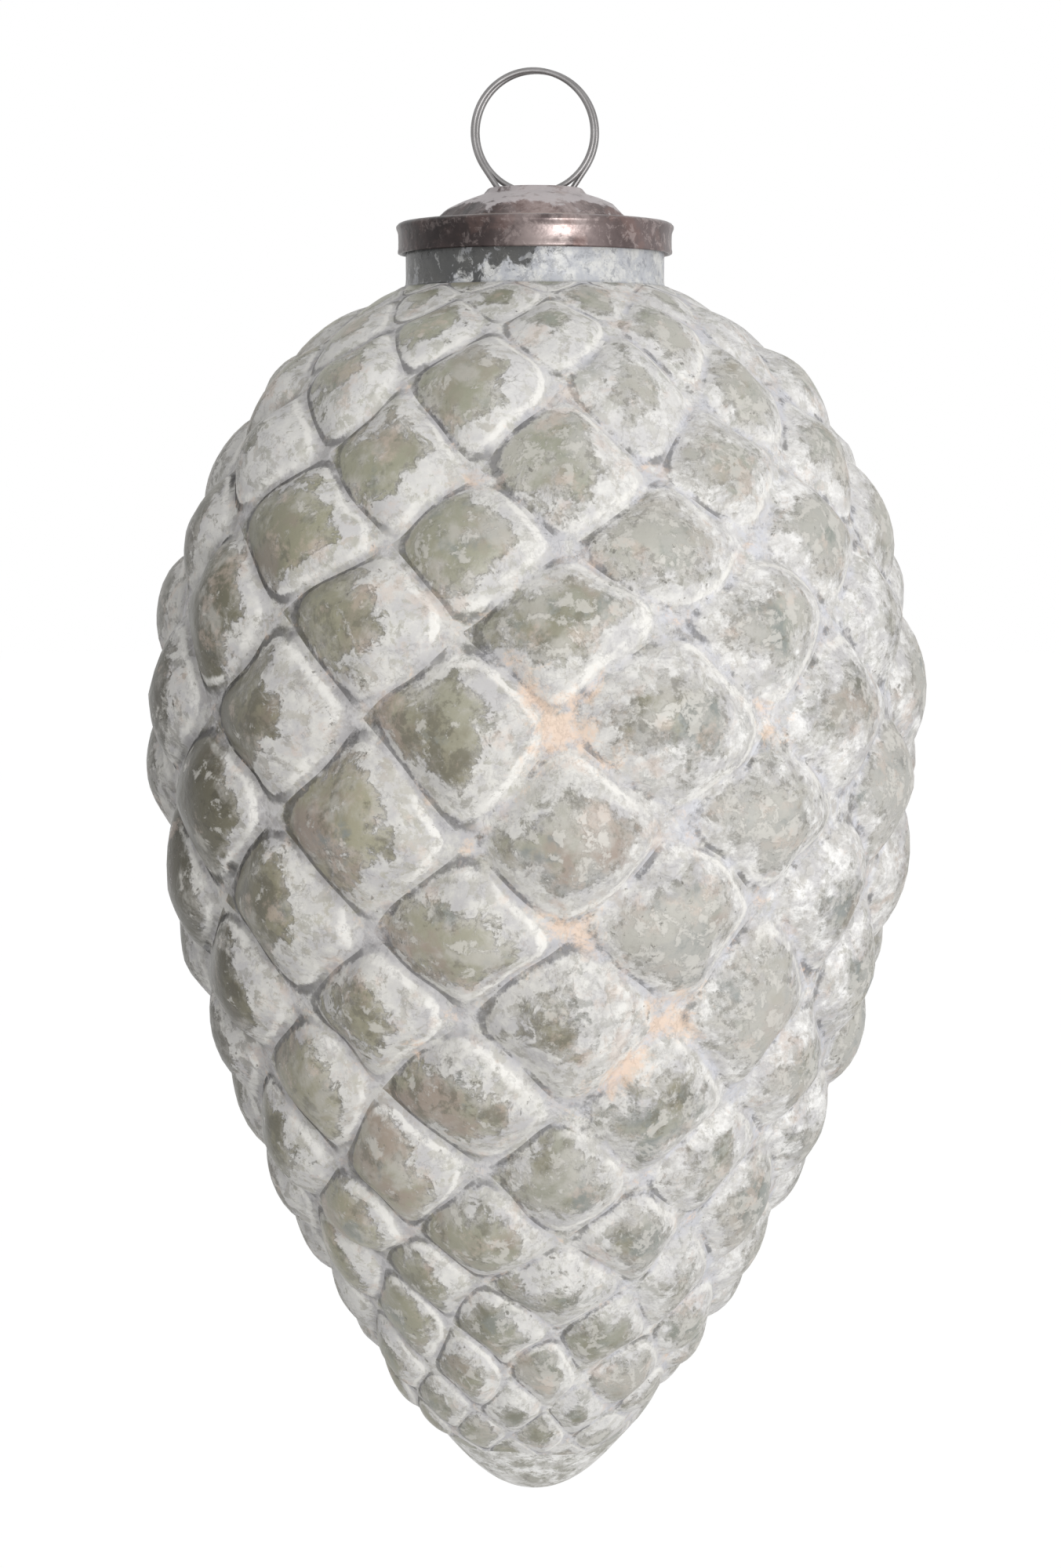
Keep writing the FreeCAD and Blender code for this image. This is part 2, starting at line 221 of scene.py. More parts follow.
def scale_reach(down_right, down_left):
    """0 at the middle of a scale, 1 at the foot of its rounded outline and more in its corners."""
    across = abs(2 * down_right - 1)
    along = abs(2 * down_left - 1)
    return (across ** PLAN_POWER + along ** PLAN_POWER) ** (1 / PLAN_POWER) / (1 - 2 * GROOVE_SHARE)


def cushion(reach):
    """Height of a scale as a share of its crown."""
    rise = 1 - reach ** SECTION_POWER
    softened = (rise + math.hypot(rise, FOOT_SOFTNESS)) / 2
    return min(1.0, softened ** SIDE_POWER)


def cut_share(index):
    """Cuts across a scale lie closer together beside its grooves."""
    share = index / SCALE_CUTS
    return share - CUT_CROWDING * math.sin(2 * math.pi * share)


def blown(point, height_share):
    """Moves a point of the skin by a smooth amount that fades at both ends, and never outward."""
    calm = sweep(NECK_ROOT - point.z, *CALM_NEAR_NECK) * sweep(point.z - TIP, *CALM_NEAR_TIP)
    drift = noise.noise_vector(point / WANDER_LENGTH) * WANDER
    drift += noise.noise_vector(point / RIPPLE_LENGTH) * RIPPLE
    outward = Vector((point.x, point.y, 0)).normalized()
    drift -= outward * drift.dot(outward)
    dent = (noise.noise(point / DENT_LENGTH + DENT_SHIFT) * 0.5 + 0.7) * DENT
    return point + (drift - outward * dent * (0.4 + 0.6 * height_share)) * calm


# Zones of the glass that take the wash differently
SCALES, ROUNDED_TIP, NECK = 0.0, 0.5, 1.0


class GlassSkin:
    """The glass mesh while it is made. A corner of a face is a vertex and its value in each layer:
    how far in from the scale's foot it lies, how far to the scale's right, how far down it, the
    scale's own chance number, and the zone."""

    LAYERS = ("edge", "side", "fall", "chance", "zone")

    def __init__(self):
        self.vertices = []
        self.faces = []
        self.known = {}
        self.layers = {name: [] for name in self.LAYERS}

    def vertex(self, row, steps, height, height_share):
        """Vertex at a place of the lattice, the same one for all the scales that meet there."""
        key = (round(row, KEY_DECIMALS), round(steps, KEY_DECIMALS) % (2 * COLUMNS))
        if key not in self.known:
            self.known[key] = len(self.vertices)
            self.vertices.append(blown(skin_point(row, steps, height), height_share))
        return self.known[key]

    def face(self, corners):
        """A face, dropped if it has no area."""
        if len({corner[0] for corner in corners}) < 3:
            return
        self.faces.append([corner[0] for corner in corners])
        for corner in corners:
            for name, value in zip(self.LAYERS, corner[1:]):
                self.layers[name].append(value)

    def plain(self, vertices, zone):
        """Corners away from the scales, all alike."""
        return [(vertex, 0.5, 0.0, 0.0, 0.5, zone) for vertex in vertices]

    def ring(self, points, zone):
        start = len(self.vertices)
        self.vertices.extend(points)
        return self.plain(range(start, len(self.vertices)), zone)

    def row_line(self, row, zone):
        """The corners already on a cut-off row, in order round the body."""
        found = [(steps, vertex) for (level, steps), vertex in self.known.items() if level == row]
        return self.plain([vertex for _, vertex in sorted(found)], zone)

    def turned(self, ring, radius, level):
        """The points of a ring, brought to one radius and level."""
        points = []
        for corner in ring:
            flat = Vector((self.vertices[corner[0]].x, self.vertices[corner[0]].y, 0)).normalized()
            points.append(flat * radius + Vector((0, 0, level)))
        return points

    def band(self, upper, lower):
        for index in range(len(upper)):
            following = (index + 1) % len(upper)
            self.face([upper[index], lower[index], lower[following], upper[following]])

    def close(self, ring, level, zone, downward):
        """A fan from a ring to a pole on the axis, which faces down or up."""
        pole = self.ring([Vector((0, 0, level))], zone)[0]
        for index, corner in enumerate(ring):
            following = ring[(index + 1) % len(ring)]
            self.face([corner, pole, following] if downward else [corner, following, pole])


def scale_corner(skin, row, middle, place, height, chance):
    """Corner of a scale at a place on it, or None past the first and the last row."""
    down_right, down_left = place
    level = row - 1 + down_right + down_left
    if level < -ROW_SLACK or level > LAST_ROW + ROW_SLACK:
        return None
    reach = scale_reach(down_right, down_left)
    share = cushion(reach)
    vertex = skin.vertex(max(level, 0.0), middle + down_right - down_left, height * share, share)
    return vertex, (1 - reach) / 2, down_right - down_left, down_right + down_left - 1, chance, SCALES


def add_scales(skin):
    draw = random.Random(CROWN_SEED)
    cuts = [cut_share(index) for index in range(SCALE_CUTS + 1)]
    for row in range(LAST_ROW + 1):
        for column in range(COLUMNS):
            middle = 2 * column + row % 2
            chance = draw.random()
            height = crown_height(row) * (LEAST_CROWN + (1 - LEAST_CROWN) * draw.random())
            grid = []
            for down_right in cuts:
                places = [(down_right, down_left) for down_left in cuts]
                grid.append([scale_corner(skin, row, middle, place, height, chance) for place in places])
            for first, second in zip(grid, grid[1:]):
                for index in range(SCALE_CUTS):
                    quad = [first[index], first[index + 1], second[index + 1], second[index]]
                    skin.face([corner for corner in quad if corner is not None])


def add_tip(skin):
    """Smooth rounded tip."""
    ring = skin.row_line(LAST_ROW, ROUNDED_TIP)
    start = row_level(LAST_ROW)
    for step in range(1, TIP_CUTS):
        level = start + (TIP - start) * math.sin(math.pi / 2 * step / TIP_CUTS)
        radius = outline.groove(level)[0]
        points = [blown(point, 0.5) for point in skin.turned(ring, radius, level)]
        following = skin.ring(points, ROUNDED_TIP)
        skin.band(ring, following)
        ring = following
    skin.close(ring, TIP + TIP_POLE_LIFT, ROUNDED_TIP, downward=True)


def add_neck_and_inside(skin):
    """Neck with its lip, then the bore and the smooth inside."""
    profile = [
        (NECK_RADIUS + 0.25, NECK_ROOT + 0.05), (NECK_RADIUS + 0.05, NECK_ROOT + 0.35),
        (NECK_RADIUS, NECK_ROOT + 1.0), (NECK_RADIUS, SKIRT_FOOT + 0.5),
        (NECK_RADIUS, LIP_TOP - LIP_HEIGHT - LIP_CHAMFER),
        (LIP_RADIUS, LIP_TOP - LIP_HEIGHT), (LIP_RADIUS, LIP_TOP - LIP_CHAMFER),
        (LIP_RADIUS - LIP_CHAMFER, LIP_TOP), (BORE_RADIUS + LIP_CHAMFER, LIP_TOP),
        (BORE_RADIUS, LIP_TOP - LIP_CHAMFER), (BORE_RADIUS, NECK_ROOT),
    ]
    for row in INSIDE_ROWS:
        level = row_level(row)
        radius, normal = outline.groove(level)
        profile.append((radius - GLASS_WALL * normal.x, level - GLASS_WALL * normal.y))
    ring = skin.row_line(0, NECK)
    for radius, level in profile:
        following = skin.ring(skin.turned(ring, radius, level), NECK)
        skin.band(following, ring)
        ring = following
    skin.close(ring, TIP + TIP_WALL, NECK, downward=False)


def build_glass():
    skin = GlassSkin()
    add_scales(skin)
    add_tip(skin)
    add_neck_and_inside(skin)
    glass = make_object("glass_cone", skin.vertices, skin.faces)
    for name, values in skin.layers.items():
        add_layer(glass.data, name, "CORNER", values)
    return glass


# Cap: the same pressing, with eight shallow arches pressed into the foot of its dome
SHEET = 0.45
SKIRT_HEIGHT = 4.0
LEDGE = SKIRT_FOOT + SKIRT_HEIGHT
CAP_OUTSIDE = 17.65
CAP_INSIDE = CAP_OUTSIDE - SHEET
BEAD_OUT = BEAD_RADIUS - 0.04
DOME_RADIUS = 13.4
DOME_WALL = 0.4
DOME_HEIGHT = 3.6
DOME_TOP_ANGLE = 74.0
DOME_FOOT_ANGLE = 56.0
UNDER_DOME_RADIUS = DOME_RADIUS - 1.4
BOSS_FOOT = 6.675
BOSS_RIM = 6.075
DOME_START = BOSS_FOOT + 0.02
DISH_RIM = 5.475
DISH_RADIUS = 4.975
DISH_DEPTH = 1.1
DISH_FLOOR = CAP_TOP - DISH_DEPTH
DISH_RINGS = (0.6, 2.5)
ARCHES = 8
ARCH_TURN = -7.0
ARCH_FOOT = 12.37
ARCH_SOFTNESS = (-0.05, 0.25)
ARCH_FLOOR = 0.02
UNEVEN = 0.1
UNEVEN_LENGTH = 3
CAP_SIDES = 192
DOME_CUTS = 32
UNDER_DOME_CUTS = 6

# Zones of the cap that are rubbed differently
SKIRT, DOME_FOOT, BOSS, DOME = 0.0, 0.6, 0.9, 1.0

# Slots of the hanger, and a block as signs along its sides and its outward faces
SLOT_OFFSET = 4.1
SLOT_ASIDE = 0.739
SLOT_HALF_LONG = 0.775
SLOT_HALF_WIDE = 0.575
BLOCK_CORNERS = [(x, y, z) for x in (-1, 1) for y in (-1, 1) for z in (-1, 1)]
BLOCK_FACES = [(0, 1, 3, 2), (4, 6, 7, 5), (0, 4, 5, 1), (2, 3, 7, 6), (0, 2, 6, 4), (1, 5, 7, 3)]


def dome_level(radius):
    """Height of the plain dome above the ledge, a shallow piece of an ellipse."""
    top, foot = math.radians(DOME_TOP_ANGLE), math.radians(DOME_FOOT_ANGLE)
    reach = (DOME_RADIUS - BOSS_FOOT) / (math.cos(foot) - math.cos(top))
    rise = (DOME_HEIGHT - DOME_WALL) / (math.sin(top) - math.sin(foot))
    turn = math.acos((radius - BOSS_FOOT) / reach + math.cos(top))
    return DOME_HEIGHT + rise * (math.sin(turn) - math.sin(top))


def arch_level(radius, angle):
    """Height above the ledge of the nearest arch's flat, which leans in at 45 degrees."""
    sector = 2 * math.pi / ARCHES
    off = (angle - math.radians(ARCH_TURN) + sector / 2) % sector - sector / 2
    return ARCH_FOOT - radius * math.cos(off)


class CapSkin:
    """The cap's mesh while it is made, of rings of points from one pole of the sheet to the other.
    Its layers say which zone a point is in and how far it lies in an arch."""

    def __init__(self):
        self.vertices = []
        self.faces = []
        self.rings = []
        self.layers = {"crown": [], "arch": []}

    def point(self, point, zone, arch):
        self.vertices.append(Vector(point))
        self.layers["crown"].append(zone)
        self.layers["arch"].append(arch)
        return len(self.vertices) - 1

    def ring(self, radius, level, zone):
        ring = []
        for side in range(CAP_SIDES):
            angle = 2 * math.pi * side / CAP_SIDES
            x, y = radius * math.sin(angle), radius * math.cos(angle)
            up = level
            arch = 0.0
            if zone == DOME:
                flat = arch_level(radius, angle)
                arch = sweep(up - LEDGE - flat, *ARCH_SOFTNESS)
                up = LEDGE + max(ARCH_FLOOR, min(up - LEDGE, flat))
            if zone == DOME and radius < DOME_RADIUS:
                up -= abs(noise.noise(Vector((x, y, level)) / UNEVEN_LENGTH) * UNEVEN)
            ring.append(self.point((x, -y, up), zone, arch))
        self.rings.append(ring)

    def join(self):
        for upper, lower in zip(self.rings, self.rings[1:]):
            for side in range(CAP_SIDES):
                following = (side + 1) % CAP_SIDES
                self.faces.append((upper[side], lower[side], lower[following], upper[following]))

    def close(self, ring, level, upward):
        """A fan from a ring to a pole on the axis, which faces up or down."""
        pole = self.point((0, 0, level), BOSS, 0.0)
        for side in range(CAP_SIDES):
            following = (side + 1) % CAP_SIDES
            fan = (ring[side], ring[following], pole)
            self.faces.append(fan if upward else fan[::-1])


def top_profile():
    """Dish, boss and dome, from the middle out, as radius, level and zone."""
    profile = [(radius, DISH_FLOOR, BOSS) for radius in (*DISH_RINGS, DISH_RADIUS - 0.1, DISH_RADIUS)]
    for radius, level in (
        (DISH_RIM, CAP_TOP - 0.12), (DISH_RIM + 0.15, CAP_TOP), (BOSS_RIM - 0.1, CAP_TOP),
        (BOSS_RIM + 0.05, CAP_TOP - 0.1), (BOSS_FOOT - 0.1, LEDGE + DOME_HEIGHT + 0.08),
    ):
        profile.append((radius, level, BOSS))
    for step in range(DOME_CUTS + 1):
        radius = DOME_START + (DOME_RADIUS - DOME_START) * step / DOME_CUTS
        profile.append((radius, LEDGE + dome_level(radius), DOME))
    return profile


def skirt_profile():
    """Ledge, rolled bead and skirt, out and down and back up inside, as radius and level."""
    return [
        (CAP_OUTSIDE - 0.75, LEDGE - 0.01), (CAP_OUTSIDE - 0.35, LEDGE - 0.07),
        (CAP_OUTSIDE, LEDGE - 0.24), (BEAD_OUT, LEDGE - 0.55), (BEAD_OUT - 0.02, LEDGE - 0.85),
        (CAP_OUTSIDE + 0.1, LEDGE - 1.15), (CAP_OUTSIDE, LEDGE - 1.5), (CAP_OUTSIDE - 0.02, LEDGE - 2.4),
        (CAP_OUTSIDE, LEDGE - 3.3), (CAP_OUTSIDE + 0.08, LEDGE - 3.7),
        (CAP_OUTSIDE + 0.05, SKIRT_FOOT + 0.08), (CAP_OUTSIDE - 0.12, SKIRT_FOOT),
        (CAP_INSIDE, SKIRT_FOOT + 0.04), (CAP_INSIDE, LEDGE - SHEET),
        (DOME_RADIUS - SHEET - 0.6, LEDGE - SHEET - 0.02),
    ]


def under_profile():
    """Underside of dome, boss and dish, from the ledge in, clear below the arches."""
    profile = []
    for step in range(UNDER_DOME_CUTS + 1):
        radius = UNDER_DOME_RADIUS - (UNDER_DOME_RADIUS - BOSS_FOOT) * step / UNDER_DOME_CUTS
        profile.append((radius, LEDGE + min(dome_level(radius) - 0.75, ARCH_FOOT - radius - 0.7)))
    profile.append((BOSS_FOOT - SHEET, LEDGE + DOME_HEIGHT - 0.8))
    profile.append(((DISH_RIM + BOSS_RIM) / 2, CAP_TOP - SHEET))
    for radius in (DISH_RADIUS + 0.2, *DISH_RINGS[::-1]):
        profile.append((radius, DISH_FLOOR - SHEET))
    return profile


def build_cap():
    """Cap of one closed sheet: an upper skin from the dish to the skirt's foot, and an under skin back."""
    skin = CapSkin()
    for radius, level, zone in top_profile():
        skin.ring(radius, level, zone)
    skin.ring(DOME_RADIUS + 0.1, LEDGE, DOME_FOOT)
    for radius, level in skirt_profile() + under_profile():
        skin.ring(radius, level, SKIRT)
    skin.join()
    skin.close(skin.rings[0], DISH_FLOOR, upward=True)
    skin.close(skin.rings[-1], DISH_FLOOR - SHEET, upward=False)
    cap = make_object("pressed_cap", skin.vertices, skin.faces)
    for name, values in skin.layers.items():
        add_layer(cap.data, name, "POINT", values)
    return cap


def cut_slots(cap):
    """Cuts the two slots of the hanger through the dish."""
    for turn in (1, -1):
        corners = []
        for x, y, z in BLOCK_CORNERS:
            along = turn * (-SLOT_OFFSET + x * SLOT_HALF_LONG)
            aside = turn * (-SLOT_ASIDE + y * SLOT_HALF_WIDE)
            corners.append((along, aside, DISH_FLOOR + z))
        block = make_object("slot_block", corners, BLOCK_FACES, smooth=False)
        cutting = cap.modifiers.new("slot", "BOOLEAN")
        cutting.object = block
        cutting.solver = "EXACT"
        evaluated = cap.evaluated_get(bpy.context.evaluated_depsgraph_get())
        cut = bpy.data.meshes.new_from_object(evaluated)
        cap.modifiers.clear()
        cap.data = cut
        bpy.data.objects.remove(block)


# Materials
class Tree:
    """Short forms for the nodes of one node tree."""

    def __init__(self, tree):
        self.tree = tree

    def node(self, kind):
        return self.tree.nodes.new(kind)

    def link(self, value, socket):
        """Links an output to an input, or sets a plain value there."""
        if isinstance(value, bpy.types.NodeSocket):
            self.tree.links.new(value, socket)
        else:
            socket.default_value = value

    def math(self, kind, first, second):
        node = self.node("ShaderNodeMath")
        node.operation = kind
        self.link(first, node.inputs[0])
        self.link(second, node.inputs[1])
        return node.outputs[0]

    def times(self, *values):
        whole = values[0]
        for value in values[1:]:
            whole = self.math("MULTIPLY", whole, value)
        return whole

    def total(self, *values):
        whole = values[0]
        for value in values[1:]:
            whole = self.math("ADD", whole, value)
        return whole

    def about(self, value, times):
        """A value from 0 to 1, moved to lie about zero and taken this many times."""
        return self.math("MULTIPLY", self.math("SUBTRACT", value, 0.5), times)

    def seen(self):
        """1 for rays of the camera, of reflections and of clear glass, and 0 for those that light."""
        path = self.node("ShaderNodeLightPath")
        seen = self.math("MAXIMUM", path.outputs["Is Camera Ray"], path.outputs["Is Glossy Ray"])
        return self.math("MAXIMUM", seen, path.outputs["Is Transmission Ray"])


class Material(Tree):
    """Nodes of one material. Sizes and places are in millimetres on the object."""

    SEED_SHIFT = (0.137, 0.071, 0.213)

    def __init__(self, name):
        self.material = bpy.data.materials.new(name)
        self.material.use_nodes = True
        super().__init__(self.material.node_tree)
        self.tree.nodes.clear()
        self.output = self.node("ShaderNodeOutputMaterial")
        self.coordinates = self.node("ShaderNodeTexCoord").outputs["Object"]

    def attribute(self, name):
        node = self.node("ShaderNodeAttribute")
        node.attribute_name = name
        return node.outputs["Fac"]

    def axis(self, name):
        node = self.node("ShaderNodeSeparateXYZ")
        self.link(self.coordinates, node.inputs[0])
        return node.outputs[name]

    def rise(self, value, low, high):
        """0 below low, 1 above high; falls the other way if low is above high."""
        node = self.node("ShaderNodeMapRange")
        node.interpolation_type = "SMOOTHSTEP"
        flipped = low > high
        self.link(value, node.inputs["Value"])
        node.inputs["From Min"].default_value = min(low, high)
        node.inputs["From Max"].default_value = max(low, high)
        node.inputs["To Min"].default_value = 1.0 if flipped else 0.0
        node.inputs["To Max"].default_value = 0.0 if flipped else 1.0
        return node.outputs["Result"]

    def along(self, axis, low, high):
        """The rise from one place on an axis to another."""
        return self.rise(self.axis(axis), low * MM, high * MM)

    def near(self, place, reach):
        """1 at a place, fading to 0 at this reach from it."""
        node = self.node("ShaderNodeVectorMath")
        node.operation = "DISTANCE"
        self.link(self.coordinates, node.inputs[0])
        node.inputs[1].default_value = Vector(place) * MM
        return self.rise(node.outputs["Value"], reach * MM, 0.0)

    def noise(self, size, detail=3.0, rough=0.55, distort=0.0, seed=0.0):
        """Cloudy noise from 0 to 1 whose blotches are about this wide. Each seed has its own place."""
        moved = self.node("ShaderNodeMapping")
        self.link(self.coordinates, moved.inputs["Vector"])
        moved.inputs["Location"].default_value = [seed * shift for shift in self.SEED_SHIFT]
        node = self.node("ShaderNodeTexNoise")
        self.link(moved.outputs["Vector"], node.inputs["Vector"])
        node.inputs["Scale"].default_value = 1 / (size * MM)
        node.inputs["Detail"].default_value = detail
        node.inputs["Roughness"].default_value = rough
        node.inputs["Distortion"].default_value = distort
        return node.outputs["Fac"]

    def patches(self, low, high, *noise, seed):
        """Blotches of noise: 0 where it lies below low, and 1 above high."""
        return self.rise(self.noise(*noise, seed=seed), low, high)

    def mix(self, share, under, over):
        node = self.node("ShaderNodeMix")
        node.data_type = "RGBA"
        self.link(share, node.inputs["Factor"])
        self.link(under, node.inputs["A"])
        self.link(over, node.inputs["B"])
        return node.outputs["Result"]

    def lay(self, under, share, strength, over):
        """A colour laid over another by a share, at most at this strength."""
        return self.mix(self.times(share, strength), under, over)

    def bump(self, height, distance, strength, under=None):
        node = self.node("ShaderNodeBump")
        self.link(height, node.inputs["Height"])
        node.inputs["Distance"].default_value = distance * MM
        node.inputs["Strength"].default_value = strength
        if under:
            self.link(under, node.inputs["Normal"])
        return node.outputs["Normal"]

    def surface(self, **sockets):
        shader = self.node("ShaderNodeBsdfPrincipled")
        for name, value in sockets.items():
            self.link(value, shader.inputs[name.replace("_", " ")])
        self.link(shader.outputs[0], self.output.inputs["Surface"])
        return self.material


def colour(red, green, blue):
    """A display colour from 0 to 255, as the linear colour that a shader takes."""
    linear = []
    for part in (red, green, blue):
        share = part / 255
        linear.append(share / 12.92 if share <= 0.04045 else ((share + 0.055) / 1.055) ** 2.4)
    return (*linear, 1.0)


# Colours of the bare glass, with a painted shade for its far left
OLIVE_GLASS = colour(164, 159, 134)
GREY_GLASS = colour(167, 168, 160)
SMOKE = colour(142, 137, 118)
BROWN_GLASS = colour(166, 148, 138)
SLATE_GLASS = colour(132, 138, 138)
MOTTLE = colour(108, 104, 90)
UPPER_GLASS = colour(158, 162, 142)
LOWER_GLASS = colour(142, 143, 126)
PAINTED_SHADE_GLASS = colour(62, 58, 45)
TIP_GLASS = colour(162, 160, 149)
DARK_NECK_GLASS = colour(66, 68, 70)
NECK_GLASS = colour(98, 97, 94)

# Colours of its film, wash, dirt and rust, with painted shade and light in the chalk and the groove
# floors, dirt lines with painted shade, and chalk ridges with a painted highlight
CLOUD = colour(198, 195, 188)
FLECK = colour(214, 211, 204)
HAZE = colour(206, 202, 196)
DULL_CHALK = colour(206, 204, 201)
PAINTED_SHADE_CHALK = colour(222, 220, 214)
PAINTED_LIGHT_CHALK = colour(250, 249, 247)
STAINED_CHALK = colour(190, 188, 190)
PAINTED_END_LIGHT_CHALK = colour(240, 239, 237)
CRUMB = colour(116, 112, 101)
RIDGE_CHALK_AND_HIGHLIGHT = colour(242, 240, 235)
PAINTED_SHADE_LILAC = colour(172, 169, 170)
PAINTED_LIGHT_LILAC = colour(210, 211, 218)
PALE_LILAC = colour(208, 206, 207)
SHADE_AND_DIRT_LINE = colour(32, 29, 26)
SPECK = colour(104, 101, 94)
PEACH = colour(238, 212, 190)
BLUSH = colour(216, 196, 182)
DULL_TIP_CHALK = colour(208, 206, 201)
TIP_CHALK = colour(246, 245, 242)
TIP_PIT = colour(120, 116, 106)
DULL_NECK_CHALK = colour(186, 188, 193)
NECK_CHALK = colour(216, 216, 214)
NECK_PIT = colour(140, 142, 149)

# Peach rust stains: places on the glass, and how far each reaches
STAINS = (
    ((2.8, -50.1, -77.3), 11), ((-1.0, -49.9, -71.0), 7), ((8.5, -49.9, -80.5), 6),
    ((5.1, -48.7, -101.4), 7), ((10.8, -43.1, -120.7), 10), ((16.4, -43.1, -113.9), 9),
    ((-7.4, -41.4, -49.1), 4), ((28.8, -41.3, -78.9), 6), ((-15.1, -42.6, -117.9), 5),
    ((-8.0, 49.0, -84.0), 10), ((22.0, 40.0, -112.0), 7),
)

# How steeply the edge of the neck's chalk slants, and how sharp it is
NECK_SLANT = 2.26
NECK_SHARPNESS = 90.0


class GlassMaterial(Material):
    """Nodes of the glass, with its mesh layers and the parts of the body that differ."""

    def __init__(self, name):
        super().__init__(name)
        self.edge = self.attribute("edge")
        self.side = self.attribute("side")
        self.fall = self.attribute("fall")
        self.chance = self.attribute("chance")
        self.zone = self.attribute("zone")
        self.rightward = self.along("X", -36, 30)
        self.far_left = self.along("X", -22, -44)
        self.far_right = self.along("X", -8, 36)
        self.upper = self.along("Z", NECK_ROOT - 60, NECK_ROOT - 4)
        self.lower = self.along("Z", TIP + 80, TIP + 10)


def smoky_glass(n):
    """Bare glass: olive on the left, greyer to the right, with smoke, brown, slate and dark mottles, and
    painted shade that darkens the far left.
    """
    glass = n.mix(n.rightward, OLIVE_GLASS, GREY_GLASS)
    smoke = n.total(n.noise(8, 5, 0.62, seed=1), n.about(n.chance, 0.16), n.times(n.lower, 0.04))
    glass = n.lay(glass, n.rise(smoke, 0.48, 0.62), 0.85, SMOKE)
    glass = n.lay(glass, n.patches(0.50, 0.62, 12, 5, 0.6, seed=3), 0.75, BROWN_GLASS)
    slate = n.total(n.noise(7, 5, 0.62, seed=28), n.about(n.rightward, 0.15), n.times(n.lower, 0.03))
    glass = n.lay(glass, n.rise(slate, 0.53, 0.63), 0.72, SLATE_GLASS)
    mottles = n.total(
        n.noise(3.6, 7, 0.68, 0.2, seed=2), n.about(n.rightward, -0.04), n.about(n.chance, 0.14),
        n.times(n.upper, -0.04),
    )
    glass = n.lay(glass, n.rise(mottles, 0.51, 0.60), 0.68, MOTTLE)
    glass = n.lay(glass, n.upper, 0.45, UPPER_GLASS)
    glass = n.lay(glass, n.lower, 0.45, LOWER_GLASS)
    # Painted shade: the glass is laid much darker towards the far left.
    return n.lay(glass, n.far_left, 0.88, PAINTED_SHADE_GLASS)


def milky_clouds(n):
    """Film over the crowns, thicker to the right."""
    film = n.noise(6, 6, 0.62, 0.3, seed=4)
    return n.rise(n.total(film, n.about(n.rightward, 0.16), n.about(n.chance, -0.18)), 0.49, 0.64)


def curdled_flecks(n):
    film = n.noise(2.4, 7, 0.70, 0.3, seed=11)
    return n.rise(n.total(film, n.about(n.rightward, 0.09), n.times(n.lower, 0.02)), 0.52, 0.59)


def wash_cover(n):
    """How deep a place lies in the chalky wash, which fills the grooves and the shoulders of the
    scales with a ragged edge. On the left it keeps to the right side of each scale."""
    ragged = n.noise(2.8, 11, 0.74, 0.4, seed=5)
    coarse = n.noise(8.5, 4, 0.55, seed=6)
    broad = n.noise(27, 3, 0.5, seed=40)
    side_pull = n.total(0.40, n.times(n.rightward, -0.34))
    return n.total(
        n.times(n.edge, -1.0), n.about(ragged, 0.80), n.about(coarse, 0.66), n.about(n.chance, 0.22),
        n.times(n.side, side_pull), n.times(n.fall, 0.03), n.about(n.rightward, 0.04),
        n.times(n.lower, 0.04), n.times(n.upper, 0.12), n.about(broad, 0.55), n.times(n.far_left, -0.12),
    )


def wash_share(n, cover):
    """The wash itself, with a crisp edge on the left and a soft one on the right."""
    crisp = n.rise(cover, -0.195, -0.150)
    soft = n.rise(cover, -0.290, -0.110)
    return n.total(n.times(crisp, n.math("SUBTRACT", 1.0, n.rightward)), n.times(soft, n.rightward))


def chalk_wash(n, body, cover, wash):
    """Lays on the wash with a thin haze inside its edge, worn holes and dark crumbs along the border. Its
    chalk is painted darker on the left and lighter on the right, near the neck and at the tip, as shade
    and light.
    """
    haze = n.times(n.rise(cover, -0.36, -0.19), n.patches(0.40, 0.60, 3.2, 8, 0.72, seed=39))
    body = n.lay(body, haze, 0.48, HAZE)
    # Painted shade and light: the chalk is darker on the left and near white on the right.
    pale = n.mix(n.far_right, PAINTED_SHADE_CHALK, PAINTED_LIGHT_CHALK)
    chalk = n.mix(n.patches(0.38, 0.64, 2.2, 9, 0.72, seed=7), DULL_CHALK, pale)
    chalk = n.lay(chalk, n.patches(0.47, 0.62, 4.5, 6, 0.66, seed=8), 0.7, STAINED_CHALK)
    # Painted light: the chalk is brightened near the neck and towards the tip.
    chalk = n.lay(chalk, n.math("MAXIMUM", n.upper, n.lower), 0.40, PAINTED_END_LIGHT_CHALK)
    holes = n.patches(0.50, 0.57, 2.0, 7, 0.72, 0.3, seed=18)
    body = n.lay(body, wash, n.math("SUBTRACT", 0.97, n.times(holes, 0.50)), chalk)
    crumbs = n.times(n.rise(cover, -0.30, -0.23), n.rise(cover, -0.12, -0.19))
    crumbs = n.times(crumbs, n.patches(0.51, 0.57, 1.3, 7, 0.72, seed=12))
    return n.lay(body, crumbs, 0.45, CRUMB)


def chalk_ridges_and_highlight(n, body):
    """Thin bright chalk ridges with a painted highlight, mostly on the right shoulders that face the
    light.
    """
    ridge = n.total(n.edge, n.about(n.noise(3.5, 5, 0.62, seed=19), 0.14))
    ridge = n.times(n.rise(ridge, 0.022, 0.040), n.rise(ridge, 0.100, 0.068))
    right_side = n.rise(n.total(n.side, n.about(n.noise(8, 4, 0.6, seed=29), 2.2)), -0.25, 0.25)
    fine = n.patches(0.36, 0.48, 1.8, 6, 0.68, seed=21)
    broad = n.patches(0.38, 0.54, 9, 4, 0.6, seed=43)
    # Painted highlight: the bright ridge is laid over chalk ridges, mostly on the right shoulders, which
    # face the light.
    return n.lay(body, n.times(ridge, right_side, n.times(fine, broad)), 0.85, RIDGE_CHALK_AND_HIGHLIGHT)


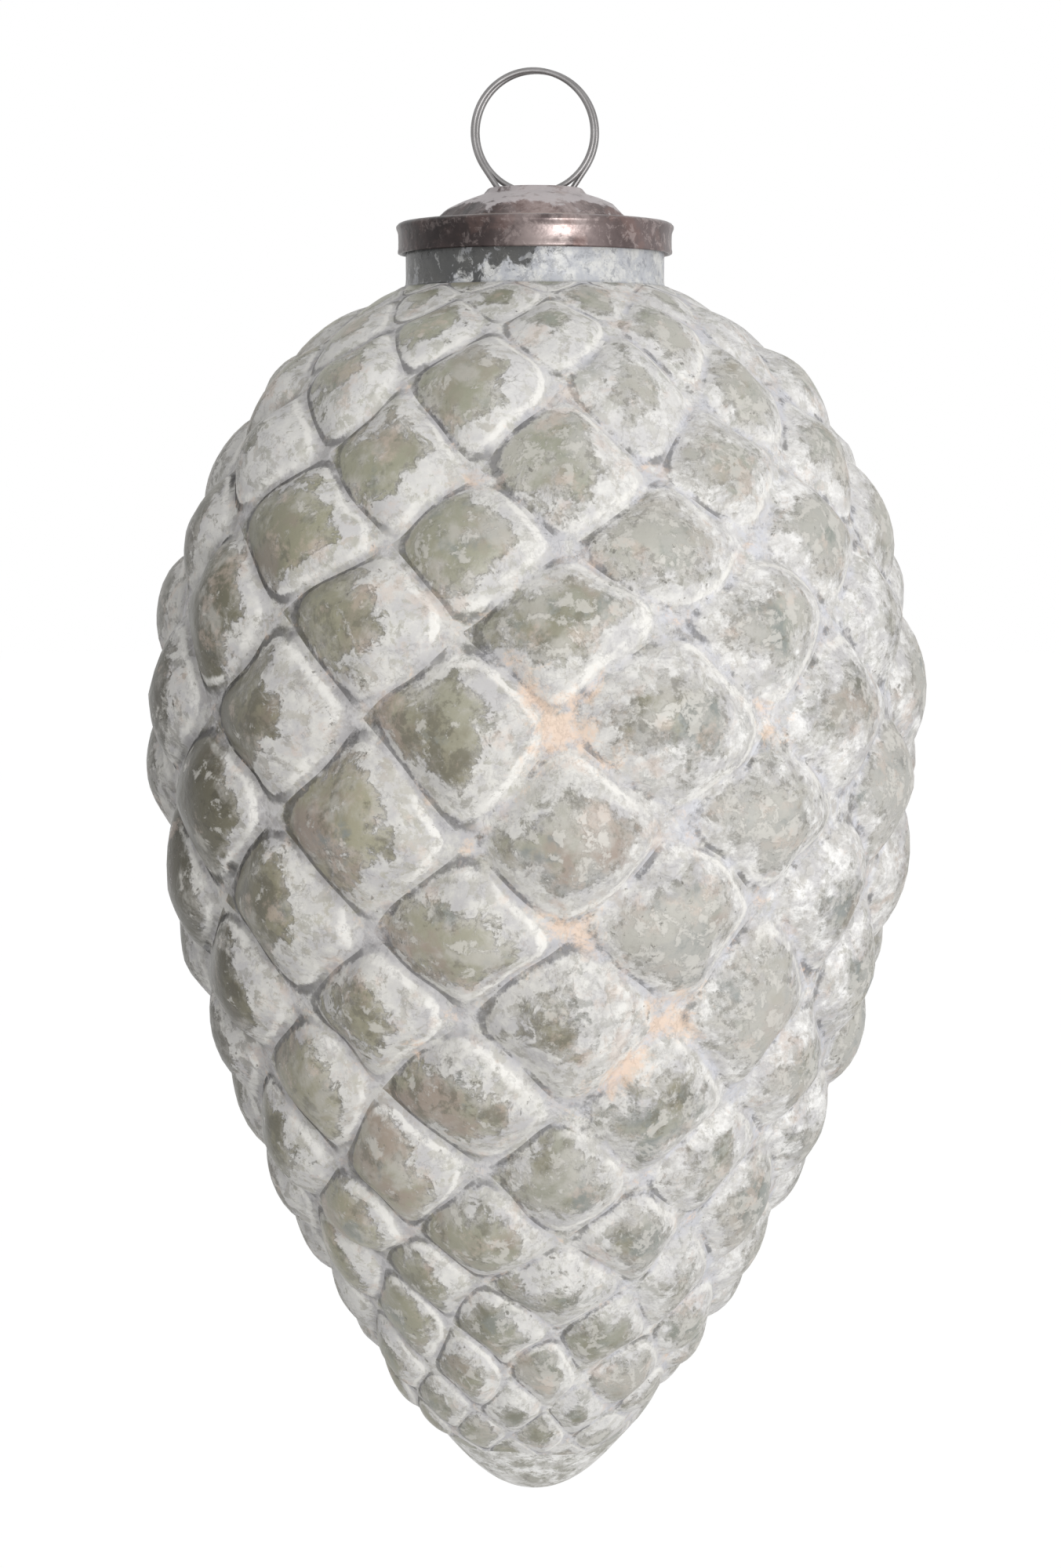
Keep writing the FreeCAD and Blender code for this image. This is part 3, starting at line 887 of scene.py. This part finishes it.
def groove_floors(n, body):
    """Mottled lilac grey in the grooves, painted darker on the left and paler on the right as shade and
    light, and dark broken lines beside the left feet of the scales that are dirt with painted shade.
    """
    frayed = n.total(n.edge, n.about(n.noise(1.6, 8, 0.72, seed=9), 0.12))
    groove = n.times(n.rise(frayed, 0.040, -0.005), n.patches(0.42, 0.56, 4, 6, 0.66, seed=20))
    # Painted shade and light: the groove floors are darker on the left and paler on the right.
    lilac = n.mix(n.rightward, PAINTED_SHADE_LILAC, PAINTED_LIGHT_LILAC)
    lilac = n.mix(n.patches(0.46, 0.58, 2.4, 7, 0.7, seed=22), lilac, PALE_LILAC)
    body = n.lay(body, groove, 0.75, lilac)
    # Dirt with painted shade: the dark lines keep to the left feet, away from the light, and grow wider
    # and darker at the far left.
    worn = n.total(n.noise(5, 7, 0.7, seed=10), n.about(n.rightward, -0.16), n.times(n.lower, -0.03))
    foot = n.total(frayed, n.times(n.far_left, -0.030))
    dark = n.times(n.rise(foot, 0.026, 0.006), n.rise(foot, -0.060, -0.030), n.rise(worn, 0.41, 0.52))
    left_side = n.rise(n.total(n.side, n.about(n.noise(9, 4, 0.6, seed=30), 2.4)), 0.30, -0.15)
    strength = n.total(0.06, n.times(left_side, n.total(0.50, n.times(n.far_left, 0.44))))
    return n.lay(body, dark, strength, SHADE_AND_DIRT_LINE)


def dark_specks(n, body):
    specks = n.patches(0.63, 0.69, 1.2, 5, 0.64, seed=13)
    specks = n.times(specks, n.patches(0.44, 0.60, 14, 2, 0.5, seed=17))
    return n.lay(body, specks, 0.7, SPECK)


def rust(n, body):
    """Peach stains, mostly along the grooves, and a faint blush in patches."""
    stains = n.near(*STAINS[0])
    for place, reach in STAINS[1:]:
        stains = n.math("MAXIMUM", stains, n.near(place, reach))
    ragged = n.about(n.noise(2.6, 9, 0.74, 0.4, seed=14), 3.6)
    stains = n.total(n.times(stains, 0.8), ragged, n.times(n.edge, -2.4))
    body = n.lay(body, n.rise(stains, 0.26, 0.95), 0.78, PEACH)
    return n.lay(body, n.patches(0.55, 0.66, 5, 7, 0.7, seed=42), 0.38, BLUSH)


def rubbed_tip(n, body):
    """The tip is mostly rubbed chalk."""
    chalk = n.mix(n.patches(0.42, 0.58, 3, 7, 0.7, seed=31), DULL_TIP_CHALK, TIP_CHALK)
    tip = n.mix(n.patches(0.40, 0.56, 3.2, 10, 0.74, 0.4, seed=24), TIP_GLASS, chalk)
    tip = n.lay(tip, n.patches(0.57, 0.64, 1.6, 6, 0.7, seed=32), 0.6, TIP_PIT)
    return n.mix(n.times(n.rise(n.zone, 0.1, 0.4), n.rise(n.zone, 0.9, 0.6)), body, tip)


def splashed_neck(n, body):
    """The neck is dark glass, splashed on the left and chalked on the right up to a slanted edge."""
    height = n.math("SUBTRACT", SKIRT_FOOT * MM, n.axis("Z"))
    slanted = n.total(n.axis("X"), n.times(height, NECK_SLANT))
    coat = n.total(n.times(slanted, NECK_SHARPNESS), n.about(n.noise(2.6, 9, 0.74, 0.5, seed=25), 4.2))
    splashes = n.patches(0.55, 0.61, 2.2, 8, 0.72, 0.5, seed=33)
    coat = n.math("MAXIMUM", n.rise(coat, -0.08, 0.32), n.times(splashes, 0.5))
    glass = n.mix(n.noise(4, 5, seed=27), DARK_NECK_GLASS, NECK_GLASS)
    chalk = n.mix(n.patches(0.40, 0.60, 2.4, 8, 0.7, seed=26), DULL_NECK_CHALK, NECK_CHALK)
    chalk = n.lay(chalk, n.patches(0.54, 0.61, 1.5, 6, 0.7, seed=34), 0.6, NECK_PIT)
    return n.mix(n.rise(n.zone, 0.6, 0.95), body, n.mix(coat, glass, chalk))


def washed_glass():
    n = GlassMaterial("washed_glass")
    clouds = milky_clouds(n)
    flecks = curdled_flecks(n)
    cover = wash_cover(n)
    wash = wash_share(n, cover)
    body = n.lay(smoky_glass(n), clouds, 0.62, CLOUD)
    body = n.lay(body, flecks, 0.62, FLECK)
    body = chalk_wash(n, body, cover, wash)
    for layer in (chalk_ridges_and_highlight, groove_floors, dark_specks, rust, rubbed_tip, splashed_neck):
        body = layer(n, body)
    gloss = n.total(0.34, n.times(wash, 0.34), n.times(clouds, 0.14))
    grain = n.bump(n.noise(0.6, 4, 0.65, seed=16), 0.06, 0.6)
    coats = n.bump(n.total(wash, n.times(flecks, 0.5)), 0.12, 0.7, grain)
    uneven = n.bump(n.noise(3.5, 4, 0.55, seed=15), 0.40, 0.6, coats)
    return n.surface(Base_Color=body, Roughness=gloss, Normal=uneven, Specular_IOR_Level=0.4)


# Colours of the cap, in pairs of a duller and a brighter blotch where there are two, with painted shade on
# its left, painted light on its right and a painted highlight, and of the wire
PAINTED_SHADE_BRONZE = (colour(30, 23, 23), colour(52, 41, 40))
PAINTED_LIGHT_BRONZE = (colour(92, 80, 79), colour(116, 103, 102))
COPPER = colour(146, 116, 108)
PAINTED_HIGHLIGHT_BRONZE = colour(204, 188, 184)
SMEAR = colour(184, 170, 167)
RUBBED = colour(202, 196, 197)
TAN_FOOT_LINE = colour(212, 194, 178)
DARK_WIRE = colour(106, 104, 103)
PALE_WIRE = colour(160, 158, 158)


def cap_metal():
    """Aged bronze, painted dark on the left and lighter on the right as shade and light, with a painted
    highlight band down the middle of the front and back, rubbed pale over the crown but not in the arches,
    with a bright line at its foot.
    """
    n = Material("cap_bronze")
    crown = n.attribute("crown")
    rightward = n.along("X", -16, 10)
    blotches = n.patches(0.36, 0.64, 4.5, 5, 0.58, seed=21)
    # Painted shade and light: the bronze is dark on the left and lighter on the right.
    metal = n.mix(rightward, n.mix(blotches, *PAINTED_SHADE_BRONZE), n.mix(blotches, *PAINTED_LIGHT_BRONZE))
    # Copper blotches are patina, laid stronger to the right, where they add to the painted light.
    copper = n.patches(0.5, 0.62, 5, 6, 0.64, seed=35)
    metal = n.lay(metal, copper, n.total(0.10, n.times(rightward, 0.22)), COPPER)
    # Painted highlight: a pale band down the middle of the front and the back of the cap.
    painted_highlight = n.times(n.along("X", -6, 1), n.along("X", 10, 3))
    painted_highlight = n.times(painted_highlight, n.patches(0.30, 0.56, 2.5, 6, 0.66, seed=41))
    metal = n.lay(metal, painted_highlight, 0.42, PAINTED_HIGHLIGHT_BRONZE)
    # Pale smears, laid stronger to the right, where they add to the painted light.
    smears = n.patches(0.52, 0.60, 1.8, 8, 0.74, 0.4, seed=22)
    metal = n.lay(metal, smears, n.total(0.12, n.times(rightward, 0.3)), SMEAR)
    rubbed = n.total(n.noise(2.4, 8, 0.7, 0.3, seed=23), n.times(n.attribute("arch"), -0.20))
    rubbed = n.times(n.rise(rubbed, 0.36, 0.48), n.rise(crown, 0.7, 0.95))
    metal = n.lay(metal, rubbed, 0.78, RUBBED)
    # A tan line along the foot of the dome, on the ledge.
    foot = n.times(n.rise(crown, 0.3, 0.6), n.along("Z", LEDGE + 0.5, LEDGE + 0.1))
    metal = n.lay(metal, foot, 0.8, TAN_FOOT_LINE)
    gloss = n.total(0.35, n.times(rubbed, 0.25), n.about(n.noise(2, 5, 0.6, seed=36), 0.3))
    grain = n.bump(n.noise(0.8, 4, seed=38), 0.05, 0.5)
    dents = n.bump(n.noise(3.5, 3, 0.5, seed=37), 0.20, 0.6, grain)
    return n.surface(Base_Color=metal, Metallic=0.6, Roughness=gloss, Normal=dents)


def wire_metal():
    n = Material("wire_steel")
    metal = n.mix(n.noise(2.5, 4, 0.6, seed=31), DARK_WIRE, PALE_WIRE)
    grain = n.bump(n.noise(0.4, 3, seed=32), 0.02, 0.4)
    return n.surface(Base_Color=metal, Metallic=0.8, Roughness=0.4, Normal=grain)


def give(piece, material):
    piece.data.materials.clear()
    piece.data.materials.append(material)


def dress(piece, material, replaced):
    give(piece, material)
    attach(piece, "root")
    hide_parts(replaced)


# Stage: a wide pale floor well below the tip, white to the camera out to the horizon
FLOOR_DROP = 300.0
FLOOR_REACH = 4000.0
CARD_GREY = (0.8, 0.8, 0.8, 1)
WHITE = (1, 1, 1, 1)
SEEN_STRENGTH = 1.06
SEEN_SHARE = 0.9


def paper():
    """Pale card; what the camera and reflections see of it is white, less the object's shadow."""
    n = Material("paper")
    card = n.node("ShaderNodeBsdfDiffuse")
    card.inputs["Color"].default_value = CARD_GREY
    white = n.node("ShaderNodeEmission")
    white.inputs["Color"].default_value = WHITE
    white.inputs["Strength"].default_value = SEEN_STRENGTH
    both = n.node("ShaderNodeMixShader")
    n.link(n.times(n.seen(), SEEN_SHARE), both.inputs[0])
    n.link(card.outputs[0], both.inputs[1])
    n.link(white.outputs[0], both.inputs[2])
    n.link(both.outputs[0], n.output.inputs["Surface"])
    return n.material


def build_floor():
    level = TIP - FLOOR_DROP
    signs = ((-1, -1), (1, -1), (1, 1), (-1, 1))
    corners = [(x * FLOOR_REACH, y * FLOOR_REACH, level) for x, y in signs]
    floor = make_object("floor", corners, [(0, 1, 2, 3)])
    give(floor, paper())


# Light: a soft world, weaker from the left, and one small lamp at the front right
LEFT_LIGHT = 0.44
RIGHT_LIGHT = 0.81
LIGHT_TURN = 0.8
KEY_PLACE = (190, -480, -60)
KEY_WIDTH = 150
KEY_WATTS = 1.2


def light_world():
    """Soft light; the camera, reflections and clear glass see plain white instead."""
    world = bpy.data.worlds.new("studio")
    bpy.context.scene.world = world
    world.use_nodes = True
    n = Tree(world.node_tree)
    background = n.tree.nodes["Background"]
    background.inputs["Color"].default_value = WHITE
    parts = n.node("ShaderNodeSeparateXYZ")
    n.link(n.node("ShaderNodeTexCoord").outputs["Generated"], parts.inputs[0])
    level = n.node("ShaderNodeMapRange")
    n.link(parts.outputs["X"], level.inputs["Value"])
    level.inputs["From Min"].default_value = -LIGHT_TURN
    level.inputs["From Max"].default_value = LIGHT_TURN
    level.inputs["To Min"].default_value = LEFT_LIGHT
    level.inputs["To Max"].default_value = RIGHT_LIGHT
    strength = n.node("ShaderNodeMix")
    n.link(n.seen(), strength.inputs["Factor"])
    n.link(level.outputs["Result"], strength.inputs["A"])
    strength.inputs["B"].default_value = 1.0
    n.link(strength.outputs["Result"], background.inputs["Strength"])


def point_at(made, target):
    """Turns a lamp or camera to a place in metres."""
    made.rotation_euler = (target - made.location).to_track_quat("-Z", "Y").to_euler()


def key_light():
    data = bpy.data.lights.new("key", "AREA")
    data.shape = "SQUARE"
    data.size = KEY_WIDTH * MM
    data.energy = KEY_WATTS
    lamp = bpy.data.objects.new("key", data)
    bpy.context.scene.collection.objects.link(lamp)
    lamp.location = Vector(KEY_PLACE) * MM
    point_at(lamp, Vector((0, 0, (LIP_TOP + TIP) / 2)) * MM)


# Camera: fitted to the photograph as a pinhole, below the ring and looking down the cone
CAMERA_DISTANCE = 315.0
CAMERA_LEVEL = -41.55
AIM_LEVEL = -91.95
CAMERA_ASIDE = -0.58
PHOTO_HEIGHT = 2000
FOCAL_PIXELS = 3038
SENSOR_WIDTH = 36
NEAR_METRES = 0.01
FAR_METRES = 20


def place_camera():
    data = bpy.data.cameras.new("camera")
    data.sensor_width = SENSOR_WIDTH
    data.lens = SENSOR_WIDTH * FOCAL_PIXELS / PHOTO_HEIGHT
    data.clip_start = NEAR_METRES
    data.clip_end = FAR_METRES
    camera = bpy.data.objects.new("camera", data)
    bpy.context.scene.collection.objects.link(camera)
    camera.location = Vector((CAMERA_ASIDE, -CAMERA_DISTANCE, CAMERA_LEVEL)) * MM
    point_at(camera, Vector((CAMERA_ASIDE, 0, AIM_LEVEL)) * MM)
    bpy.context.scene.camera = camera


dress(build_glass(), washed_glass(), "glass_body")
cap = build_cap()
cut_slots(cap)
dress(cap, cap_metal(), "cap")
give(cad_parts["hanger_wire"], wire_metal())

build_floor()
light_world()
key_light()
place_camera()
bpy.context.scene.view_settings.view_transform = "Standard"
